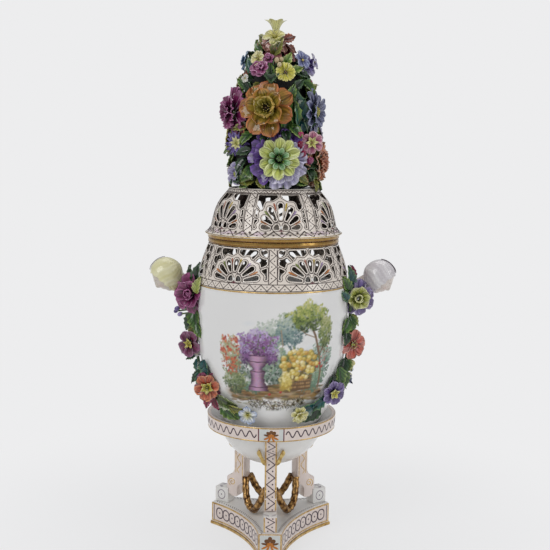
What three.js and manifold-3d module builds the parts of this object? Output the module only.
// Pierced lidded porcelain vase (potpourri vase) on a tripod stand.
// Millimetres, +Z up. The origin is on the vase's axis, level with the surface that it stands on.
// A corner of the plinth points at the viewer, along -Y.
import * as THREE from 'three';
import { mergeVertices } from 'three/addons/utils/BufferGeometryUtils.js';
import Module from 'manifold-3d';

const wasm = await Module();
wasm.setup();

// Clearance between pieces that touch, and between a stalk and its socket
const GAP = 0.3;

// Stand: plinth with three concave sides and truncated corners
const PLINTH_HEIGHT = 22.8;
const PLINTH_REACH = 61.4;
const PLINTH_CORNER_WIDTH = 21.7;
const PLINTH_WAIST = 31.2;
const PLINTH_WALL = 5;
const PLINTH_DECK = 6;
const PLINTH_FOOT_HEIGHT = 3.2;
const PLINTH_FOOT_FLARE = 1.2;

// Stand: corner blocks and cabriole legs
const BLOCK_WIDTH = 12.4;
const BLOCK_DEPTH = 14.8;
const BLOCK_HEIGHT = 15;
const BLOCK_SETBACK = 1.2;
const LEG_WIDTH = 11.4;
const LEG_SHAFT_OUTER = 38.5;
const LEG_SHAFT_DEPTH = 11.3;
const LEG_KNEE_OUTER = 47;
const LEG_KNEE_HEIGHT = 12;
const LEG_TOE_OUTER = 41;
const LEG_TOE_DROP = 7;
const LEG_TOE_DEPTH = 9.2;
const LEG_HEAD_OUTER = 54.5;
const LEG_FOOT_EDGE = 1.5;
const VOLUTE_RADIUS = 3.6;
const VOLUTE_SINK = 0.8;
const UPPER_VOLUTE = { reach: 44, height: 93, width: 6.2 };
const LOWER_VOLUTE = { reach: 40.5, height: 85.4, width: 3.4 };

// Stand: laurel garlands hung between the legs
const GARLAND_THICKNESS = 7.6;
const GARLAND_HOOK_HEIGHT = 53;
const GARLAND_DROP = 26;
const GARLAND_MIDDLE_REACH = 19;

// Stand: bowl with an upright rim band
const BOWL_RADIUS = 52;
const BOWL_CENTRE_HEIGHT = 124;
const BOWL_WALL = 4.5;
const BAND_HEIGHT = 13.3;
const BAND_BOTTOM_HEIGHT = 109.7;
const BAND_RADIUS = 61.5;
const BAND_WALL = 3;
const DISH_DEPTH = 6;
const BAND_FLARE = 0.4;
const LEDGE_WIDTH = 9;
const LEDGE_ROOM = 2;

// Fixing that holds the vase down on its stand
const BOLT_DIAMETER = 5;
const BOLT_HOLE_DIAMETER = 7;
const BOLT_HEAD_DIAMETER = 11;
const BOLT_HEAD_HEIGHT = 3;
const BOLT_TAIL = 3;
const NUT_WIDTH = 10;
const NUT_HEIGHT = 4;
const WASHER_DIAMETER = 16;
const WASHER_THICKNESS = 1.5;

// Vase: body, pierced shoulder and mouth
const BODY_FOOT_RADIUS = 47;
const BODY_WAIST_RADIUS = 56;
const BODY_WAIST_LEVEL = 0.12301;
const BODY_BELLY_RADIUS = 68.4;
const BODY_BELLY_LEVEL = 0.43052;
const BODY_WIDEST_RADIUS = 72.2;
const BODY_WIDEST_LEVEL = 0.79499;
const BODY_TOP_RADIUS = 71.6;
const BODY_TOP_HEIGHT = 249;
const BODY_WALL = 4.5;
const BODY_SIDES = 36;
const BODY_FLOOR_THICKNESS = 5.5;
const SHOULDER_HEIGHT = 38.2;
const SHOULDER_SWELL = 1.6;
const SHOULDER_WALL = 4.2;
const MOUTH_RADIUS = 61.2;
const MOUTH_RING_HEIGHT = 5.2;
const MOUTH_RING_WALL = 5;

// Lid: lip with a locating collar, pierced dome and crown
const LIP_HEIGHT = 3.4;
const LIP_RADIUS = 62.2;
const FLANGE_RADIUS = 64.4;
const FLANGE_HEIGHT = 3.6;
const COLLAR_HEIGHT = 7;
const COLLAR_WALL = 3;
const COLLAR_CLEARANCE = 1.2;
const DOME_FOOT_RADIUS = 60;
const DOME_TOP_RADIUS = 41.5;
const DOME_HEIGHT = 39.5;
const DOME_WALL = 4;
const DOME_BULGE_RADIUS = 53.4;
const DOME_BULGE_HEIGHT = 23.6;
const CROWN_THICKNESS = 4;
const CROWN_CLEARANCE = 1;

// Piercing of shoulder and lid: six palmette panels each
const PANEL_COUNT = 6;
const MULLION_WIDTH = 10;
const SHOULDER_RAIL = 7.8;
const SHOULDER_TOP_RAIL = 1.6;
const DOME_FOOT_RAIL = 3.4;
const DOME_TOP_RAIL = 5.6;
const PALMETTE_PETALS = 7;
const PALMETTE_SPREAD = 78;
const PETAL_INNER_WIDTH = 2;
const PETAL_OUTER_WIDTH = 4.2;
const LATTICE_BAR = 2.4;
const ARCH_RADIUS = 6.4;
const SIDE_MARGIN = 5;
const TOP_MARGIN = 9.5;
const EDGE_STEPS = 2;
const CORNER_ARC = 6;
// Spans of the openings beside a palmette, in degrees from the panel's middle line
const SHOULDER_SECTORS = [[3, 36], [42, 60], [65, 84]];
const DOME_SECTORS = [[3, 44], [49, 61], [66, 85]];
const SHOULDER_PANEL_TURN = 30;
const DOME_PANEL_TURN = 6.5;

// Finial: flower mound on the lid
const MOUND_FOOT_RADIUS = 35;
const MOUND_MIDDLE_RADIUS = 36;
const MOUND_MIDDLE_LEVEL = 0.317;
const MOUND_NECK_RADIUS = 22;
const MOUND_NECK_LEVEL = 0.76;
const MOUND_HEIGHT = 142;
const MOUND_TIP_RADIUS = 4;
const TRUMPET_RAISE = 5.5;
const TRUMPET_FLOWER = {
  azimuth: 0, rise: 90, radius: 10.5, petals: 6, cup: 0.75, heart: 0.2, stalk: 12, color: '#c3c98f' };
const LEAF_ROOT_REACH = 20;
const LEAF_SUNK_LENGTH = 12;
const STALK_DIAMETER = 4;
const STALK_LENGTH = 9;
const FLOWER_SEAT = 0.5;

// Mask heads at the sides of the shoulder
const HEAD_OVERHANG = 28.8;
const HEAD_ABOVE_TOP = 7;
const HEAD_WIDTH = 27;
const HEAD_TALL = 33;
const HEAD_DEPTH = 28;
const HEAD_ROOT_BELOW_TOP = 8;
const HEAD_NECK_DIAMETER = 15;
const HEAD_NECK_SINK = 4;

// Flower swags on the body
const VINE_DIAMETER = 3.6;
const VINE_RAISE = 2.4;
const VINE_STEPS = 12;
const SWAG_TOP_DROP = 12;
const SWAG_FOOT_RISE = 8;
const SWAG_STALK_LENGTH = 8;
const SWAG_FLOWER_RAISE = 6;
const LEAF_WIDTH = 11;
const LEAF_CLEARANCE = 0.5;

const turn = THREE.MathUtils.degToRad;
const CORNERS = [-90, 30, 150];
const DOME_BASE_HEIGHT = BODY_TOP_HEIGHT + SHOULDER_HEIGHT + MOUTH_RING_HEIGHT
  + LIP_HEIGHT + FLANGE_HEIGHT;
const CROWN_TOP_HEIGHT = DOME_BASE_HEIGHT + DOME_HEIGHT;

// Colours of the glazes, enamels and fittings
const finish = (color, roughness = 0.2, metalness = 0) => ({ color, roughness, metalness });
const PORCELAIN = finish('#e9e7e3');
const PINK_PORCELAIN = finish('#e3d5d6');
const GILDING = finish('#9a7328', 0.3, 0.9);
const BRASS = finish('#a98a4a', 0.4, 1);
const FELT = finish('#3f5a3c', 0.9);
const LEAF_GREEN = finish('#4f6b3a', 0.3);

// A closed geometry becomes a solid: vertices merged, faces turned outwards
function solid(geometry) {
  const bare = geometry.clone();
  bare.deleteAttribute('normal');
  bare.deleteAttribute('uv');
  const merged = mergeVertices(bare, 1e-4);
  const corners = Array.from(merged.index.array);
  const kept = [];
  for (let i = 0; i < corners.length; i += 3) {
    const [a, b, c] = corners.slice(i, i + 3);
    if (a !== b && b !== c && a !== c) kept.push(a, b, c);
  }
  const vertProperties = new Float32Array(merged.attributes.position.array);
  const closed = () => new wasm.Manifold(
    new wasm.Mesh({ numProp: 3, vertProperties, triVerts: new Uint32Array(kept) }));
  const made = closed();
  if (made.volume() > 0) return made;
  for (let i = 0; i < kept.length; i += 3) [kept[i], kept[i + 1]] = [kept[i + 1], kept[i]];
  return closed();
}

const united = (solids) => solids.reduce((whole, next) => whole.add(next));
const without = (whole, cutters) => cutters.reduce((rest, cutter) => rest.subtract(cutter), whole);

const vase = new THREE.Group();

function place(name, made, look) {
  const { vertProperties, triVerts } = made.getMesh();
  const geometry = new THREE.BufferGeometry();
  geometry.setAttribute('position', new THREE.BufferAttribute(new Float32Array(vertProperties), 3));
  geometry.setIndex(new THREE.BufferAttribute(new Uint32Array(triVerts), 1));
  geometry.computeVertexNormals();
  const piece = new THREE.Mesh(geometry, new THREE.MeshStandardMaterial(look));
  piece.name = name;
  vase.add(piece);
  return made;
}

// Points of a smooth profile through a few radii and heights
function smooth(points, steps) {
  const curve = new THREE.SplineCurve(points.map(([r, z]) => new THREE.Vector2(r, z)));
  return curve.getPoints(steps).map((p) => [p.x, p.y]);
}

// A closed profile of [radius, height] points turned about Z
function turned(profile, segments = 32) {
  const loop = [...profile, profile[0]].map(([r, z]) => new THREE.Vector2(Math.max(r, 0), z));
  return new THREE.LatheGeometry(loop, segments).rotateX(Math.PI / 2);
}

// A solid of revolution under an outer profile that runs upwards
function bulk(outer, grow = 0, segments = 32) {
  const bottom = outer[0][1];
  const top = outer.at(-1)[1];
  const grown = outer.map(([r, z]) => [r + grow, z]);
  return solid(turned([[0, bottom], ...grown, [0, top]], segments));
}

function cylinder(diameter, bottom, top, sides = 16) {
  const made = new THREE.CylinderGeometry(diameter / 2, diameter / 2, top - bottom, sides);
  return made.rotateX(Math.PI / 2).translate(0, 0, (bottom + top) / 2);
}

// Moves a geometry modelled at the azimuth of -Y round to another azimuth
const swung = (geometry, azimuth) => geometry.rotateZ(turn(azimuth + 90));

// Outline of the plinth: truncated corners joined by arcs that curve in
function plinthOutline(reach, cornerWidth, waist, arcSteps = 10) {
  const points = [];
  for (const corner of CORNERS) {
    const ahead = new THREE.Vector2(Math.cos(turn(corner)), Math.sin(turn(corner)));
    const side = new THREE.Vector2(-ahead.y, ahead.x).multiplyScalar(cornerWidth / 2);
    const start = ahead.clone().multiplyScalar(reach).add(side);
    points.push(ahead.clone().multiplyScalar(reach).sub(side), start);
    const middle = turn(corner + 60);
    const out = new THREE.Vector2(Math.cos(middle), Math.sin(middle));
    const rise = start.dot(out) - waist;
    const halfChord = Math.abs(start.cross(out));
    const radius = (halfChord ** 2 + rise ** 2) / (2 * rise);
    const halfAngle = Math.asin(halfChord / radius);
    for (let i = 1; i < arcSteps; i += 1) {
      const angle = middle + Math.PI + halfAngle * (1 - (2 * i) / arcSteps);
      const centre = out.clone().multiplyScalar(waist + radius);
      points.push(centre.add(new THREE.Vector2(Math.cos(angle), Math.sin(angle)).multiplyScalar(radius)));
    }
  }
  return new THREE.Shape(points);
}

function plinth() {
  const slab = (flare, bottom, top) => {
    const outline = plinthOutline(PLINTH_REACH + flare, PLINTH_CORNER_WIDTH + flare, PLINTH_WAIST + flare);
    return solid(new THREE.ExtrudeGeometry(outline, { depth: top - bottom, bevelEnabled: false })
      .translate(0, 0, bottom));
  };
  const foot = slab(PLINTH_FOOT_FLARE, 0, PLINTH_FOOT_HEIGHT);
  const sides = slab(0, PLINTH_FOOT_HEIGHT / 2, PLINTH_HEIGHT);
  const recess = slab(-PLINTH_WALL, -1, PLINTH_HEIGHT - PLINTH_DECK);
  place('plinth', foot.add(sides).subtract(recess), PINK_PORCELAIN);
}

const BLOCK_OUTER = PLINTH_REACH - BLOCK_SETBACK;
const BLOCK_INNER = BLOCK_OUTER - BLOCK_DEPTH;
const BLOCK_BOTTOM = PLINTH_HEIGHT + GAP;
const BLOCK_TOP = BLOCK_BOTTOM + BLOCK_HEIGHT;

function cornerBlocks() {
  CORNERS.forEach((corner, i) => {
    const box = new THREE.BoxGeometry(BLOCK_WIDTH, BLOCK_DEPTH, BLOCK_HEIGHT);
    box.translate(0, -(BLOCK_OUTER + BLOCK_INNER) / 2, (BLOCK_BOTTOM + BLOCK_TOP) / 2);
    place(`corner_block_${i + 1}`, solid(swung(box, corner)), PORCELAIN);
  });
}

// Profile of a sphere about the bowl's centre, from one radius out to another
function bowlArc(sphereRadius, fromRadius, toRadius, steps) {
  const [from, to] = [fromRadius, toRadius].map((radius) => Math.asin(radius / sphereRadius));
  return Array.from({ length: steps + 1 }, (_, k) => {
    const angle = from + ((to - from) * k) / steps;
    return [sphereRadius * Math.sin(angle), BOWL_CENTRE_HEIGHT - sphereRadius * Math.cos(angle)];
  });
}

// Outside of the bowl from its bolt hole up to the band
const BOWL_EDGE_RADIUS = Math.sqrt(BOWL_RADIUS ** 2 - (BOWL_CENTRE_HEIGHT - BAND_BOTTOM_HEIGHT) ** 2);
const bowlOuter = () => bowlArc(BOWL_RADIUS, BOLT_HOLE_DIAMETER / 2, BOWL_EDGE_RADIUS, 6);

function bowlSeat() {
  const lowered = bowlOuter().map(([r, z]) => [r + GAP, z - GAP]);
  const brim = lowered.at(-1)[0];
  return solid(turned([[0, lowered[0][1]], ...lowered, [brim, BOWL_CENTRE_HEIGHT], [0, BOWL_CENTRE_HEIGHT]]));
}

const SHAFT_INNER = LEG_SHAFT_OUTER - LEG_SHAFT_DEPTH;
const SHAFT_BOTTOM = GARLAND_HOOK_HEIGHT + GARLAND_THICKNESS / 2;

// Side view of a leg: radius along x, height along y
function legOutline() {
  const kneeBottom = BLOCK_TOP + GAP;
  const kneeTop = kneeBottom + LEG_KNEE_HEIGHT;
  const toeBottom = BLOCK_TOP - LEG_TOE_DROP;
  const toeInner = LEG_TOE_OUTER + GAP + 3.2 - LEG_TOE_DEPTH;
  const headHeight = BAND_BOTTOM_HEIGHT - GAP;
  const bowlFoot = BOWL_CENTRE_HEIGHT - BOWL_RADIUS;
  const outline = new THREE.Shape();
  outline.moveTo(BLOCK_INNER - GAP, kneeBottom);
  outline.lineTo(LEG_KNEE_OUTER - LEG_FOOT_EDGE, kneeBottom);
  outline.quadraticCurveTo(LEG_KNEE_OUTER, kneeBottom + 0.5, LEG_KNEE_OUTER, kneeBottom + 3);
  outline.lineTo(LEG_KNEE_OUTER, kneeTop);
  outline.quadraticCurveTo(LEG_SHAFT_OUTER + 1, kneeTop + 2, LEG_SHAFT_OUTER, kneeTop + 9);
  outline.lineTo(LEG_SHAFT_OUTER, bowlFoot + 8);
  outline.bezierCurveTo(
    LEG_SHAFT_OUTER, bowlFoot + 22, LEG_HEAD_OUTER - 4, headHeight - 16, LEG_HEAD_OUTER, headHeight);
  outline.lineTo(SHAFT_INNER + 8, headHeight);
  outline.lineTo(SHAFT_INNER, bowlFoot + 10);
  outline.lineTo(SHAFT_INNER, SHAFT_BOTTOM - 10);
  outline.bezierCurveTo(SHAFT_INNER, SHAFT_BOTTOM - 18, toeInner, kneeTop - 4, toeInner, kneeBottom);
  outline.lineTo(toeInner, toeBottom + 2);
  outline.quadraticCurveTo(toeInner, toeBottom, toeInner + 2, toeBottom);
  outline.lineTo(LEG_TOE_OUTER, toeBottom);
  outline.lineTo(BLOCK_INNER - GAP, toeBottom + 2.5);
  return outline;
}

// A scroll on each side of a leg where it meets the bowl
function volutes() {
  return [UPPER_VOLUTE, LOWER_VOLUTE].flatMap(({ reach, height, width }) => [-1, 1].map((side) => {
    const disc = new THREE.CylinderGeometry(VOLUTE_RADIUS, VOLUTE_RADIUS * 0.7, width, 8);
    disc.rotateZ(Math.PI / 2 * side);
    return disc.translate(side * (LEG_WIDTH / 2 + width / 2 - VOLUTE_SINK), -reach, height);
  }));
}

function legs() {
  const seat = bowlSeat();
  CORNERS.forEach((corner, i) => {
    const leg = new THREE.ExtrudeGeometry(legOutline(), {
      depth: LEG_WIDTH, bevelEnabled: false, curveSegments: 4 });
    leg.translate(0, 0, -LEG_WIDTH / 2).rotateX(Math.PI / 2).rotateZ(-Math.PI / 2);
    const solids = [leg, ...volutes()].map((g) => solid(swung(g, corner)));
    place(`leg_${i + 1}`, united(solids).subtract(seat), PINK_PORCELAIN);
  });
}

// A garland droops between the inner faces of two neighbouring legs
function garlands() {
  CORNERS.forEach((corner, i) => {
    const hookReach = SHAFT_INNER - GAP;
    const aside = GARLAND_THICKNESS / 2 + GAP / 2;
    const point = (t) => {
      const side = 2 * t - 1;
      const droop = Math.abs(side) ** 2.2;
      const flat = GARLAND_MIDDLE_REACH + (hookReach - GARLAND_MIDDLE_REACH) * Math.abs(side);
      const angle = turn(corner + 60 + 60 * side) - Math.sign(side) * Math.abs(side) * aside / flat;
      const height = GARLAND_HOOK_HEIGHT - GARLAND_DROP * (1 - droop);
      return new THREE.Vector3(flat * Math.cos(angle), flat * Math.sin(angle), height);
    };
    const steps = 11;
    const path = new THREE.CatmullRomCurve3(Array.from({ length: steps + 1 }, (_, k) => point(k / steps)));
    const section = new THREE.Shape();
    section.absarc(0, 0, GARLAND_THICKNESS / 2, 0, 2 * Math.PI);
    const tube = new THREE.ExtrudeGeometry(section, {
      steps, curveSegments: 4, extrudePath: path, bevelEnabled: false });
    const faces = [corner, corner + 120].map((azimuth) => {
      const wall = new THREE.BoxGeometry(60, 60, 60).translate(0, -hookReach - 30, GARLAND_HOOK_HEIGHT);
      return solid(swung(wall, azimuth));
    });
    place(`garland_${i + 1}`, without(solid(tube), faces), GILDING);
  });
}

// Profile of the vase's outside, from its seat in the bowl up to the seam under the shoulder.
// Levels are shares of the body's height.
const bodyOuter = () => smooth([
  [BODY_FOOT_RADIUS, 0],
  [BODY_WAIST_RADIUS, BODY_WAIST_LEVEL],
  [BODY_BELLY_RADIUS, BODY_BELLY_LEVEL],
  [BODY_WIDEST_RADIUS, BODY_WIDEST_LEVEL],
  [BODY_TOP_RADIUS, 1],
], 9).map(([radius, level]) => [radius, seatHeight() + level * (BODY_TOP_HEIGHT - seatHeight())]);

const DISH_FLOOR = BAND_BOTTOM_HEIGHT + BAND_HEIGHT - DISH_DEPTH;
const seatHeight = () => DISH_FLOOR + GAP;

function standBowl() {
  const bandTop = BAND_BOTTOM_HEIGHT + BAND_HEIGHT;
  const ledge = BODY_FOOT_RADIUS - LEDGE_WIDTH;
  const profile = [
    ...bowlOuter(),
    [BAND_RADIUS - BAND_FLARE, BAND_BOTTOM_HEIGHT],
    [BAND_RADIUS + BAND_FLARE, bandTop],
    [BAND_RADIUS - BAND_WALL, bandTop],
    [BODY_FOOT_RADIUS + LEDGE_ROOM, DISH_FLOOR],
    [ledge, DISH_FLOOR],
    ...bowlArc(BOWL_RADIUS - BOWL_WALL, ledge, BOLT_HOLE_DIAMETER / 2, 3),
  ];
  return place('stand_bowl', solid(turned(profile)), PINK_PORCELAIN);
}

const BODY_FLOOR = DISH_FLOOR + GAP;

function vaseBody() {
  const outer = bodyOuter();
  const inner = outer.filter(([, z]) => z > BODY_FLOOR + BODY_WALL)
    .filter((_, i) => i % 2 === 1).map(([r, z]) => [r - BODY_WALL, z]);
  const top = [BODY_TOP_RADIUS - BODY_WALL, BODY_TOP_HEIGHT];
  const hole = BOLT_HOLE_DIAMETER / 2;
  const floorTop = BODY_FLOOR + BODY_FLOOR_THICKNESS;
  const floorEdge = BODY_FOOT_RADIUS - BODY_WALL;
  const profile = [
    [hole, BODY_FLOOR], ...outer, top, ...inner.filter(([, z]) => z < BODY_TOP_HEIGHT - 2).reverse(),
    [floorEdge, floorTop + 2], [floorEdge - 5, floorTop], [hole, floorTop],
  ];
  place('vase_body', solid(turned(profile, BODY_SIDES)), PORCELAIN);
}

// Washers, bolt and nut down the axis, hidden inside the vase and under the bowl
function fixing() {
  const floorTop = BODY_FLOOR + BODY_FLOOR_THICKNESS;
  const washer = (bottom) => {
    const ring = solid(cylinder(WASHER_DIAMETER, bottom, bottom + WASHER_THICKNESS, 20));
    return ring.subtract(solid(cylinder(BOLT_DIAMETER + 2 * GAP, bottom - 1, bottom + WASHER_THICKNESS + 1)));
  };
  const upper = floorTop + GAP;
  const headBottom = upper + WASHER_THICKNESS + GAP;
  const underBowl = BOWL_CENTRE_HEIGHT - BOWL_RADIUS;
  const lower = underBowl - GAP - WASHER_THICKNESS;
  const nutTop = lower - GAP;
  const nutBottom = nutTop - NUT_HEIGHT;
  place('washer_upper', washer(upper), FELT);
  place('washer_lower', washer(lower), FELT);
  const shank = solid(cylinder(BOLT_DIAMETER, nutBottom - BOLT_TAIL, headBottom + 0.5));
  const head = solid(cylinder(BOLT_HEAD_DIAMETER, headBottom, headBottom + BOLT_HEAD_HEIGHT, 20));
  place('fixing_bolt', shank.add(head), BRASS);
  const hexagon = solid(cylinder(NUT_WIDTH / Math.cos(Math.PI / 6), nutBottom, nutTop, 6));
  const bore = solid(cylinder(BOLT_DIAMETER + 2 * GAP, nutBottom - 1, nutTop + 1));
  place('fixing_nut', hexagon.subtract(bore), BRASS);
}

// One of the two eyes in the arch at the palmette's root
const PALMETTE_EYE = [[1.3, 0.9], [1.6, 3.9], [3.9, 3.1], [4.3, 0.9]];

// Openings of one palmette panel, as flat outlines. The root of the palmette is at the origin,
// x runs across the panel and y up its slope. A corner arc parts a small opening off in each upper corner.
function paneOutlines({ footHalf, topHalf, height, sectors, cornerArc }) {
  const slope = (footHalf - topHalf) / height;
  const reachX = footHalf - SIDE_MARGIN;
  const reachY = height - TOP_MARGIN;
  const oval = (degrees, inset) => {
    const a = turn(degrees);
    const radius = 1 / Math.hypot(Math.sin(a) / (reachX - inset), Math.cos(a) / (reachY - inset));
    return [radius * Math.sin(a), radius * Math.cos(a)];
  };
  const frameAt = (degrees) => {
    const a = turn(degrees);
    const edge = Math.min(height / Math.cos(a), footHalf / (Math.sin(a) + slope * Math.cos(a)));
    const nearest = Math.sin(a) * topHalf + Math.cos(a) * height;
    const inside = nearest ** 2 - topHalf ** 2 - height ** 2 + (cornerArc + LATTICE_BAR) ** 2;
    const radius = cornerArc > 0 && inside > 0 ? Math.min(edge, nearest - Math.sqrt(inside)) : edge;
    return [radius * Math.sin(a), radius * Math.cos(a)];
  };
  const outlines = [];
  for (let i = 0; i < PALMETTE_PETALS; i += 1) {
    const degrees = PALMETTE_SPREAD * ((2 * i) / (PALMETTE_PETALS - 1) - 1);
    const a = turn(degrees);
    const tip = Math.hypot(...oval(degrees, LATTICE_BAR));
    const across = (along, half) => [
      along * Math.sin(a) + half * Math.cos(a), along * Math.cos(a) - half * Math.sin(a)];
    const start = ARCH_RADIUS + LATTICE_BAR;
    const shoulder = tip - PETAL_OUTER_WIDTH / 2;
    outlines.push([
      across(start, -PETAL_INNER_WIDTH / 2), across(shoulder, -PETAL_OUTER_WIDTH / 2), across(tip, 0),
      across(shoulder, PETAL_OUTER_WIDTH / 2), across(start, PETAL_INNER_WIDTH / 2),
    ]);
  }
  const corner = THREE.MathUtils.radToDeg(Math.atan2(topHalf, height));
  const mirrored = [PALMETTE_EYE];
  for (const [from, to] of sectors) {
    const outer = [to, (from + 3 * to) / 4, (from + to) / 2, from].map(frameAt);
    const turnsCorner = cornerArc === 0 && from < corner && corner < to;
    if (turnsCorner) outer.splice(2, 1, [topHalf, height]);
    mirrored.push([from, (from + to) / 2, to].map((degrees) => oval(degrees, -LATTICE_BAR)).concat(outer));
  }
  if (cornerArc > 0) {
    mirrored.push([
      [topHalf - cornerArc, height], [topHalf - 0.8 * cornerArc, height - 0.6 * cornerArc],
      [topHalf - 0.3 * cornerArc, height - 0.95 * cornerArc],
      [topHalf + slope * cornerArc, height - cornerArc], [topHalf, height],
    ]);
  }
  for (const outline of mirrored) outlines.push(outline, outline.map(([x, y]) => [-x, y]));
  return outlines;
}

// Swaps the diagonal of any two neighbouring triangles where the other one is shorter,
// so that the faces follow the bend of the shell. x is an angle, y a length.
function evened(faces, flat, radius) {
  const apart = (a, b) => Math.hypot((flat[a].x - flat[b].x) * radius, flat[a].y - flat[b].y);
  const leftTurn = (a, b, c) => (flat[b].x - flat[a].x) * (flat[c].y - flat[a].y)
    - (flat[b].y - flat[a].y) * (flat[c].x - flat[a].x) > 1e-3;
  const opposite = (face, a, b) => face.find((corner) => corner !== a && corner !== b);
  for (let pass = 0; pass < 12; pass += 1) {
    const owner = new Map();
    faces.forEach((face, f) => face.forEach((a, i) => owner.set(`${a} ${face[(i + 1) % 3]}`, f)));
    const touched = new Set();
    faces.forEach((face, f) => face.forEach((a, i) => {
      const b = face[(i + 1) % 3];
      const g = owner.get(`${b} ${a}`);
      if (g === undefined || touched.has(f) || touched.has(g)) return;
      const c = opposite(face, a, b);
      const d = opposite(faces[g], a, b);
      if (apart(c, d) >= apart(a, b) || !leftTurn(a, d, c) || !leftTurn(d, b, c)) return;
      faces[f] = [a, d, c];
      faces[g] = [d, b, c];
      touched.add(f).add(g);
    }));
  }
  return faces;
}

// A shell of revolution with its panels cut through: the flat pattern of one panel is bent
// round the profile, outside and inside, and repeated round the axis
function piercedShell({ profile, wall, footRail, topRail, turnBy, sectors, cornerArc = 0 }) {
  const lengths = profile.map((_, i) => (i === 0 ? 0 : Math.hypot(
    profile[i][0] - profile[i - 1][0], profile[i][1] - profile[i - 1][1])));
  const total = lengths.reduce((sum, next) => sum + next);
  const along = (distance) => {
    let left = Math.min(Math.max(distance, 0), total);
    let i = 1;
    while (i < profile.length - 1 && left > lengths[i]) {
      left -= lengths[i];
      i += 1;
    }
    const [[r0, z0], [r1, z1]] = [profile[i - 1], profile[i]];
    const share = left / lengths[i];
    return { r: r0 + (r1 - r0) * share, z: z0 + (z1 - z0) * share, thick: (wall * lengths[i]) / (z1 - z0) };
  };
  const halfTurn = Math.PI / PANEL_COUNT;
  const half = (distance) => along(distance).r * halfTurn - MULLION_WIDTH / 2;
  const height = total - footRail - topRail;
  const pane = { footHalf: half(footRail), topHalf: half(total - topRail), height, sectors, cornerArc };
  const holes = paneOutlines(pane)
    .map((outline) => outline.map(([x, y]) => {
      const distance = y + footRail;
      return new THREE.Vector2(x / along(distance).r, distance);
    }));
  for (const hole of holes) if (!THREE.ShapeUtils.isClockWise(hole)) hole.reverse();
  const shares = [-1, -0.5, 0, 0.5, 1];
  const rung = Array.from({ length: EDGE_STEPS - 1 }, (_, i) => ((i + 1) * total) / EDGE_STEPS);
  const contour = [
    ...shares.map((share) => new THREE.Vector2(share * halfTurn, 0)),
    ...rung.map((distance) => new THREE.Vector2(halfTurn, distance)),
    ...shares.map((share) => new THREE.Vector2(-share * halfTurn, total)),
    ...[...rung].reverse().map((distance) => new THREE.Vector2(-halfTurn, distance)),
  ];
  const flat = [...contour, ...holes.flat()];
  // Triangulation drops points that lie in line, so it sees the edges bowed and the holes shifted a trifle
  const bowed = contour.map(({ x, y }) => new THREE.Vector2(
    x * (1 + (y * (total - y)) / total ** 3),
    y + (y < total / 2 ? -1 : 1) * (halfTurn ** 2 - x ** 2) * 0.01));
  const shifted = holes.map((hole, k) => hole.map(({ x, y }, i) => new THREE.Vector2(
    x + 1e-5 * Math.sin(7 * k + 3 * i), y + 1e-3 * Math.cos(5 * k + 2 * i))));
  const cut = THREE.ShapeUtils.triangulateShape(bowed, shifted);
  const faces = evened(cut, [...bowed, ...shifted.flat()], along(0).r);
  const positions = [];
  const put = (k, i, inner) => {
    const { r, z, thick } = along(flat[i].y);
    const halfTurns = (flat[i].x / halfTurn + 2 * (k + PANEL_COUNT)) % (2 * PANEL_COUNT);
    const angle = halfTurns * halfTurn + turn(turnBy);
    const radius = inner ? r - thick : r;
    positions.push(radius * Math.sin(angle), -radius * Math.cos(angle), z);
  };
  const wallUp = (k, a, b) => {
    const rim = [[a, false], [a, true], [b, true], [a, false], [b, true], [b, false]];
    for (const [i, inner] of rim) put(k, i, inner);
  };
  for (let k = 0; k < PANEL_COUNT; k += 1) {
    for (const [a, b, c] of faces) {
      for (const i of [a, b, c]) put(k, i, false);
      for (const i of [c, b, a]) put(k, i, true);
    }
    const last = shares.length - 1;
    const topStart = shares.length + rung.length;
    for (let i = 0; i < last; i += 1) {
      wallUp(k, i, i + 1);
      wallUp(k, topStart + i, topStart + i + 1);
    }
    let start = contour.length;
    for (const hole of holes) {
      hole.forEach((_, i) => wallUp(k, start + i, start + ((i + 1) % hole.length)));
      start += hole.length;
    }
  }
  const geometry = new THREE.BufferGeometry();
  geometry.setAttribute('position', new THREE.BufferAttribute(new Float32Array(positions), 3));
  return solid(geometry);
}

const SHOULDER_TOP = BODY_TOP_HEIGHT + SHOULDER_HEIGHT;

function shoulderProfile(bottom) {
  const middle = [(BODY_TOP_RADIUS + MOUTH_RADIUS) / 2 + SHOULDER_SWELL, (bottom + SHOULDER_TOP) / 2];
  return smooth([[BODY_TOP_RADIUS, bottom], middle, [MOUTH_RADIUS, SHOULDER_TOP]], 4);
}

function piercedShoulder() {
  place('pierced_shoulder', piercedShell({
    profile: shoulderProfile(BODY_TOP_HEIGHT + GAP), wall: SHOULDER_WALL,
    footRail: SHOULDER_RAIL, topRail: SHOULDER_TOP_RAIL, turnBy: SHOULDER_PANEL_TURN,
    sectors: SHOULDER_SECTORS, cornerArc: CORNER_ARC,
  }), PORCELAIN);
}

const RING_BOTTOM = SHOULDER_TOP + GAP;
const RING_TOP = SHOULDER_TOP + MOUTH_RING_HEIGHT - GAP;

function mouthRing() {
  const inner = MOUTH_RADIUS - MOUTH_RING_WALL;
  place('mouth_ring', solid(turned([
    [MOUTH_RADIUS, RING_BOTTOM], [MOUTH_RADIUS + 0.5, (RING_BOTTOM + RING_TOP) / 2], [MOUTH_RADIUS, RING_TOP],
    [inner, RING_TOP], [inner, RING_BOTTOM],
  ])), GILDING);
}

// The lip rests on the mouth ring, and its collar drops inside the ring
const LIP_BOTTOM = SHOULDER_TOP + MOUTH_RING_HEIGHT;

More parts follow.
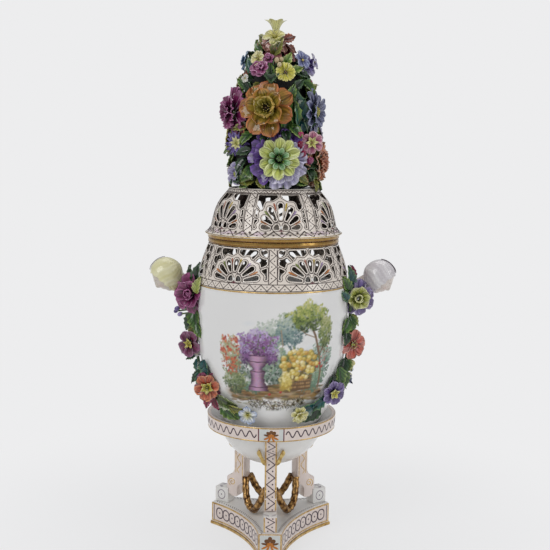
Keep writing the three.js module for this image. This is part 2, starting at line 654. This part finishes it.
function lidLip() {
  const collarOuter = MOUTH_RADIUS - MOUTH_RING_WALL - COLLAR_CLEARANCE;
  const collarInner = collarOuter - COLLAR_WALL;
  const lipTop = LIP_BOTTOM + LIP_HEIGHT;
  place('lid_lip', solid(turned([
    [collarInner, LIP_BOTTOM - COLLAR_HEIGHT], [collarOuter, LIP_BOTTOM - COLLAR_HEIGHT],
    [collarOuter, LIP_BOTTOM], [LIP_RADIUS - 1, LIP_BOTTOM], [LIP_RADIUS, LIP_BOTTOM + LIP_HEIGHT / 2],
    [LIP_RADIUS, lipTop], [FLANGE_RADIUS, lipTop + 0.6], [FLANGE_RADIUS - 0.6, lipTop + 1.6],
    [DOME_FOOT_RADIUS, DOME_BASE_HEIGHT], [DOME_FOOT_RADIUS - DOME_WALL, DOME_BASE_HEIGHT],
    [collarInner, LIP_BOTTOM],
  ])), PINK_PORCELAIN);
}

function lidDome() {
  const bottom = DOME_BASE_HEIGHT + GAP;
  const profile = smooth([
    [DOME_FOOT_RADIUS, bottom], [DOME_BULGE_RADIUS, DOME_BASE_HEIGHT + DOME_BULGE_HEIGHT],
    [DOME_TOP_RADIUS, CROWN_TOP_HEIGHT],
  ], 5);
  place('lid_dome', piercedShell({
    profile, wall: DOME_WALL, footRail: DOME_FOOT_RAIL, topRail: DOME_TOP_RAIL, turnBy: DOME_PANEL_TURN,
    sectors: DOME_SECTORS,
  }), PORCELAIN);
}

const CROWN_RADIUS = DOME_TOP_RADIUS - 1.5 * DOME_WALL - CROWN_CLEARANCE;

function lidCrown() {
  const bottom = CROWN_TOP_HEIGHT - CROWN_THICKNESS;
  place('lid_crown', solid(cylinder(2 * CROWN_RADIUS, bottom, CROWN_TOP_HEIGHT, 36)), PORCELAIN);
}

// A flower is a closed rosette of petals that faces +Z, on a short stalk
function rosette({ radius, petals, cup = 0.3, heart = 0.3, thick = 1.8, notch = 0.2 }, grow = 0) {
  const around = petals * 2;
  const ring = (share, height, lobed) => Array.from({ length: around }, (_, i) => {
    const angle = (Math.PI * i) / petals;
    const reach = (radius + grow) * share * (i % 2 ? 1 - lobed * notch : 1);
    return [reach * Math.cos(angle), reach * Math.sin(angle), height];
  });
  const rim = radius * cup;
  const spread = grow > 0 ? 1 + (1.6 * grow) / (radius + grow) : 1;
  const levels = [ring(heart, radius * 0.1 + grow, 0)];
  if (radius > 15) levels.push(ring(heart + 0.32, rim * 0.25 + grow, 0.4));
  levels.push(ring(spread, rim * spread + grow, 1), ring(0.6, rim * 0.2 - thick - grow, 0.4));
  const points = [[0, 0, radius * 0.18 + grow], ...levels.flat(), [0, 0, -thick - grow]];
  const index = [];
  const id = (level, i) => 1 + level * around + (i % around);
  for (let i = 0; i < around; i += 1) {
    index.push(0, id(0, i), id(0, i + 1));
    for (let level = 0; level < levels.length - 1; level += 1) {
      index.push(id(level, i), id(level + 1, i), id(level + 1, i + 1));
      index.push(id(level, i), id(level + 1, i + 1), id(level, i + 1));
    }
    index.push(id(levels.length - 1, i), points.length - 1, id(levels.length - 1, i + 1));
  }
  const geometry = new THREE.BufferGeometry();
  geometry.setAttribute('position', new THREE.BufferAttribute(new Float32Array(points.flat()), 3));
  geometry.setIndex(index);
  return geometry;
}

// Turns a piece that faces +Z to face outwards at an azimuth and rise, and moves its centre there
function faced(geometry, { azimuth, rise = 0, spin = 0 }, centre) {
  geometry.rotateZ(turn(spin)).rotateY(turn(90 - rise)).rotateZ(turn(azimuth));
  return geometry.translate(centre.x, centre.y, centre.z);
}

function flower(spec, centre, grow = 0) {
  const length = spec.stalk ?? STALK_LENGTH;
  const thickness = STALK_DIAMETER / 2 + grow;
  const stalk = new THREE.CylinderGeometry(thickness, thickness, length + grow, 5)
    .rotateX(Math.PI / 2).translate(0, 0, -(length + grow) / 2);
  return solid(faced(rosette(spec, grow), spec, centre)).add(solid(faced(stalk, spec, centre)));
}

// A pointed leaf blade that lies along +X with its stem end at the origin, face up
function leafBlade({ length, width, thick = 1.5, curl = 0.2 }) {
  const blade = new THREE.Shape();
  blade.moveTo(0, -width * 0.12);
  blade.quadraticCurveTo(length * 0.45, -width * 0.95, length, 0);
  blade.quadraticCurveTo(length * 0.45, width * 0.95, 0, width * 0.12);
  const geometry = new THREE.ExtrudeGeometry(blade, { depth: thick, bevelEnabled: false, curveSegments: 2 });
  const vertices = geometry.attributes.position;
  for (let i = 0; i < vertices.count; i += 1) {
    const x = vertices.getX(i);
    vertices.setZ(i, vertices.getZ(i) + (curl * x * x) / length);
  }
  return geometry;
}

const polar = (reach, azimuth, z) => new THREE.Vector3(
  reach * Math.cos(turn(azimuth)), reach * Math.sin(turn(azimuth)), z);

const MOUND_BASE = CROWN_TOP_HEIGHT + GAP;
const moundProfile = () => smooth([
  [MOUND_FOOT_RADIUS, MOUND_BASE],
  [MOUND_MIDDLE_RADIUS, MOUND_BASE + MOUND_MIDDLE_LEVEL * MOUND_HEIGHT],
  [MOUND_NECK_RADIUS, MOUND_BASE + MOUND_NECK_LEVEL * MOUND_HEIGHT],
  [MOUND_TIP_RADIUS, MOUND_BASE + MOUND_HEIGHT],
], 5);

// Flowers of the finial: azimuth, level as a share of the mound's height, distance from the axis
const FINIAL_FLOWERS = {
  lotus: { azimuth: -85, level: 0.19, reach: 44, radius: 27, petals: 9, cup: 0.12, rise: 8,
    color: '#a9b46a' },
  rose: { azimuth: -101, level: 0.507, reach: 40, radius: 23, petals: 7, cup: 0.3, heart: 0.4, rise: 10,
    color: '#a86f33' },
  primrose: { azimuth: -74, level: 0.732, reach: 32, radius: 9.5, petals: 8, rise: 20, color: '#c9b13b' },
  dahlia: { azimuth: -160, level: 0.486, reach: 38, radius: 19, petals: 8, cup: 0.42, color: '#8d3558' },
  daisy: { azimuth: -24, level: 0.493, reach: 38, radius: 17, petals: 9, cup: 0.35, color: '#7385a3' },
  aster: { azimuth: -146, level: 0.254, reach: 40, radius: 11.5, petals: 9, color: '#7a63a8' },
  ochre_carnation: { azimuth: -9, level: 0.176, reach: 38, radius: 19, petals: 8, cup: 0.4,
    color: '#a8613a' },
  pink_flower: { azimuth: -40, level: 0.296, reach: 42, radius: 8.5, petals: 6, color: '#d9a8a6' },
  lilac_flower: { azimuth: -148, level: 0.092, reach: 41, radius: 10, petals: 6, cup: 0.35,
    color: '#9b9bb8' },
  mauve_roses: { azimuth: -120, level: 0.761, reach: 30, radius: 8, petals: 6, rise: 25, color: '#a27d96' },
  violet: { azimuth: -18, level: 0.789, reach: 30, radius: 11, petals: 5, rise: 18, color: '#8b76ad' },
  cornflower: { azimuth: -176, level: 0.817, reach: 27, radius: 9, petals: 7, rise: 15, color: '#5b78ab' },
  back_peony: { azimuth: 88, level: 0.211, reach: 43, radius: 25, petals: 8, cup: 0.2, rise: 8,
    color: '#c58a94' },
  back_rose: { azimuth: 78, level: 0.549, reach: 39, radius: 20, petals: 7, cup: 0.3, heart: 0.4, rise: 10,
    color: '#b89a45' },
  back_aster_left: { azimuth: 146, level: 0.211, reach: 40, radius: 14, petals: 9, color: '#8374b0' },
  back_aster_right: { azimuth: 34, level: 0.232, reach: 40, radius: 13, petals: 9, color: '#b06a86' },
  back_daisy: { azimuth: 140, level: 0.535, reach: 38, radius: 17, petals: 9, color: '#cfd3d8' },
  back_violet: { azimuth: 60, level: 0.789, reach: 29, radius: 10, petals: 5, rise: 20, color: '#7f8fc0' },
  back_primrose: { azimuth: 122, level: 0.782, reach: 30, radius: 9.5, petals: 8, rise: 20,
    color: '#d0c067' },
  star_flower: { azimuth: -100, level: 0.965, reach: 12, radius: 10, petals: 6, rise: 22, color: '#cfc68a' },
};

// Leaves of the finial: azimuth, level as a share of the mound's height, length, width, upward tilt
const FINIAL_LEAVES = [
  [-47, 0.46, 22, 11, 62], [-130, 0.54, 20, 11, 12], [-63, 0.65, 18, 10, 45], [-126, 0.37, 20, 12, 20],
  [-125, 0.06, 22, 13, 12], [-50, 0.08, 20, 12, 12], [-6, 0.33, 18, 11, 0], [176, 0.28, 20, 12, 15],
  [14, 0.46, 20, 12, 20], [110, 0.42, 18, 11, 25], [58, 0.38, 18, 11, 20], [115, 0.06, 20, 12, 10],
  [62, 0.06, 20, 12, 10], [-2, 0.65, 16, 9, 35], [-150, 0.70, 17, 9, 40], [30, 0.70, 16, 9, 40],
  [150, 0.73, 16, 9, 40],
];

function finial() {
  const centreOf = (spec) => polar(spec.reach, spec.azimuth, MOUND_BASE + spec.level * MOUND_HEIGHT);
  const leaves = FINIAL_LEAVES.map(([azimuth, level, length, width, tilt]) => {
    const root = polar(LEAF_ROOT_REACH, azimuth, MOUND_BASE + level * MOUND_HEIGHT);
    const blade = leafBlade({ length: length + LEAF_SUNK_LENGTH, width });
    blade.rotateY(turn(-tilt)).rotateZ(turn(azimuth));
    return solid(blade.translate(root.x, root.y, root.z));
  });
  const top = new THREE.Vector3(0, 0, MOUND_BASE + MOUND_HEIGHT + TRUMPET_RAISE);
  const specs = Object.entries(FINIAL_FLOWERS).map(([name, spec]) => [name, spec, centreOf(spec)]);
  specs.push(['trumpet_flower', TRUMPET_FLOWER, top]);
  const seats = specs.map(([, spec, centre]) => flower(spec, centre, FLOWER_SEAT));
  const foliage = without(united([bulk(moundProfile(), 0, 16), ...leaves]), seats);
  place('finial_mound', foliage.trimByPlane([0, 0, 1], MOUND_BASE), LEAF_GREEN);
  for (const [name, spec, centre] of specs) {
    place(`finial_${name}`, flower(spec, centre), finish(spec.color, 0.25));
  }
}

const vaseOutline = () => [...bodyOuter(), ...shoulderProfile(BODY_TOP_HEIGHT).slice(1)];

// Vase's outside grown by a clearance: what is stuck on the vase is cut by it
function vaseEnvelope() {
  const bandTop = BAND_BOTTOM_HEIGHT + BAND_HEIGHT + GAP;
  const brim = BAND_RADIUS + 1;
  const band = turned([[0, BAND_BOTTOM_HEIGHT], [brim, BAND_BOTTOM_HEIGHT], [brim, bandTop], [0, bandTop]]);
  return bulk(vaseOutline(), GAP, 40).add(solid(band));
}

// A mask head: cranium, plain face, hair roll and band, on a neck rooted in the vase's wall
function maskHead(side, envelope) {
  const reach = BODY_WIDEST_RADIUS + HEAD_OVERHANG;
  const centre = new THREE.Vector3(side * reach, 0, BODY_TOP_HEIGHT + HEAD_ABOVE_TOP);
  const ball = (width, depth, tall, x, y, z, segments = 10) => new THREE.SphereGeometry(
    0.5, segments, Math.ceil(segments * 0.6))
    .scale(width, depth, tall).translate(centre.x + side * x, centre.y + y, centre.z + z);
  const hair = new THREE.TorusGeometry(HEAD_WIDTH * 0.42, 3.6, 5, 10).rotateY(Math.PI / 2)
    .rotateY(turn(-20 * side)).translate(centre.x - side * 3, 0, centre.z + 2);
  const root = new THREE.Vector3(
    side * (BODY_WIDEST_RADIUS - HEAD_NECK_SINK), 0, BODY_TOP_HEIGHT - HEAD_ROOT_BELOW_TOP);
  const neckLine = new THREE.LineCurve3(root, centre);
  const section = new THREE.Shape();
  section.absarc(0, 0, HEAD_NECK_DIAMETER / 2, 0, 2 * Math.PI);
  const neck = new THREE.ExtrudeGeometry(section, {
    steps: 1, curveSegments: 5, extrudePath: neckLine, bevelEnabled: false });
  const parts = [
    ball(HEAD_WIDTH, HEAD_DEPTH, HEAD_TALL, 0, 0, 0),
    ball(9, 5, 4, HEAD_WIDTH * 0.42, 0, -4, 6),
    hair, neck,
  ];
  return united(parts.map(solid)).subtract(envelope);
}

// Radius of the vase's outside at a height, shoulder included
function wallRadius(height) {
  const outer = vaseOutline();
  const above = Math.max(outer.findIndex(([, z]) => z >= height), 1);
  const [r0, z0] = outer[above - 1];
  const [r1, z1] = outer[above];
  return r0 + ((r1 - r0) * (height - z0)) / (z1 - z0);
}

const offWall = (azimuth, height, raise) => polar(wallRadius(height) + raise, azimuth, height);

function swagHeight(level) {
  const foot = BAND_BOTTOM_HEIGHT + BAND_HEIGHT + SWAG_FOOT_RISE;
  return foot + level * (BODY_TOP_HEIGHT - SWAG_TOP_DROP - foot);
}

// Lays a leaf on the vase: its length heads for the front, turned up by an angle, and follows the wall
function laidLeaf(length, azimuth, side, heading, height) {
  const root = offWall(azimuth, height, VINE_RAISE - 1);
  const sideways = length * Math.cos(turn(heading));
  const turnedBy = THREE.MathUtils.radToDeg(sideways / Math.hypot(root.x, root.y));
  const tip = offWall(azimuth - side * turnedBy, height + length * Math.sin(turn(heading)), VINE_RAISE);
  const shortfalls = [0.25, 0.5, 0.75].map((share) => {
    const spot = root.clone().lerp(tip, share);
    return (wallRadius(spot.z) + LEAF_CLEARANCE - Math.hypot(spot.x, spot.y)) / share;
  });
  tip.add(polar(Math.max(0, ...shortfalls), azimuth, 0));
  const ahead = tip.sub(root).normalize();
  const out = polar(1, azimuth, 0);
  out.addScaledVector(ahead, -out.dot(ahead)).normalize();
  const basis = new THREE.Matrix4().makeBasis(ahead, out.clone().cross(ahead), out);
  const blade = leafBlade({ length, width: LEAF_WIDTH, curl: 0.1 });
  return solid(blade.applyMatrix4(basis.setPosition(root)));
}

// Swags: the vine's run, its flowers and its leaves. Azimuths count from the vase's side to its front,
// and levels run from 0 at the swag's foot to 1 at its head.
const SWAGS = {
  left: {
    run: [[13, 1], [8, 0.764], [7, 0.557], [10, 0.368], [24, 0.198], [48, 0.056], [66, -0.001]],
    flowers: {
      rose: { at: [4, 0.991], radius: 13.5, petals: 6, cup: 0.45, heart: 0.4, color: '#7d3150' },
      pansy: { at: [5, 0.547], radius: 11, petals: 5, color: '#6e2a45' },
      poppy: { at: [24, 0.226], radius: 10.5, petals: 6, rise: -8, color: '#c25a35' },
      white_flower: { at: [67, 0.037], radius: 6.5, petals: 5, rise: -20, color: '#dfe3ea' },
    },
    leaves: [[13, 0.991, 27, 80], [8, 0.783, 17, -60], [9, 0.425, 19, -75], [44, 0.075, 17, 25]],
  },
  right: {
    run: [[13, 1], [9, 0.764], [9, 0.557], [13, 0.368], [28, 0.198], [48, 0.056], [64, -0.001]],
    flowers: {
      rose: { at: [8, 0.981], radius: 13.5, petals: 6, cup: 0.45, heart: 0.4, color: '#8c7aa6' },
      anemone: { at: [10, 0.566], radius: 11, petals: 5, color: '#c4554a' },
      pansy: { at: [30, 0.207], radius: 10, petals: 5, rise: -10, color: '#6d5596' },
      yellow_flower: { at: [65, 0.047], radius: 7, petals: 6, rise: -20, color: '#d6c877' },
    },
    leaves: [[13, 0.991, 28, 80], [9, 0.783, 17, -60], [12, 0.425, 19, -75], [46, 0.066, 17, 25]],
  },
};

function headsAndSwags() {
  const envelope = vaseEnvelope();
  for (const [name, swag] of Object.entries(SWAGS)) {
    const side = name === 'left' ? -1 : 1;
    const azimuthOf = (fromSide) => (side < 0 ? 180 + fromSide : -fromSide);
    const head = maskHead(side, envelope);
    const knots = swag.run.map(([fromSide, level]) => new THREE.Vector2(fromSide, level));
    const run = new THREE.SplineCurve(knots);
    const points = run.getPoints(VINE_STEPS).map((p) => offWall(azimuthOf(p.x), swagHeight(p.y), VINE_RAISE));
    const section = new THREE.Shape();
    section.absarc(0, 0, VINE_DIAMETER / 2, 0, 2 * Math.PI);
    const extrudePath = new THREE.CatmullRomCurve3(points);
    const vine = new THREE.ExtrudeGeometry(section, {
      steps: VINE_STEPS, curveSegments: 3, extrudePath, bevelEnabled: false });
    const leaves = swag.leaves.map(([fromSide, level, length, heading]) => laidLeaf(
      length, azimuthOf(fromSide), side, heading, swagHeight(level)));
    const specs = Object.entries(swag.flowers).map(([flowerName, spec]) => {
      const azimuth = azimuthOf(spec.at[0]);
      const stalked = { ...spec, azimuth, stalk: SWAG_STALK_LENGTH };
      return [flowerName, stalked, offWall(azimuth, swagHeight(spec.at[1]), SWAG_FLOWER_RAISE)];
    });
    const seats = specs.map(([, spec, centre]) => flower(spec, centre, FLOWER_SEAT));
    const green = united([solid(vine), ...leaves]);
    place(`mask_head_${name}`, without(head, seats), PORCELAIN);
    place(`swag_${name}_vine`, without(green, [envelope, ...seats]), LEAF_GREEN);
    for (const [flowerName, spec, centre] of specs) {
      place(`swag_${name}_${flowerName}`, flower(spec, centre).subtract(envelope), finish(spec.color, 0.25));
    }
  }
}

plinth();
cornerBlocks();
legs();
garlands();
standBowl();
vaseBody();
fixing();
piercedShoulder();
mouthRing();
lidLip();
lidDome();
lidCrown();
finial();
headsAndSwags();

export default vase;
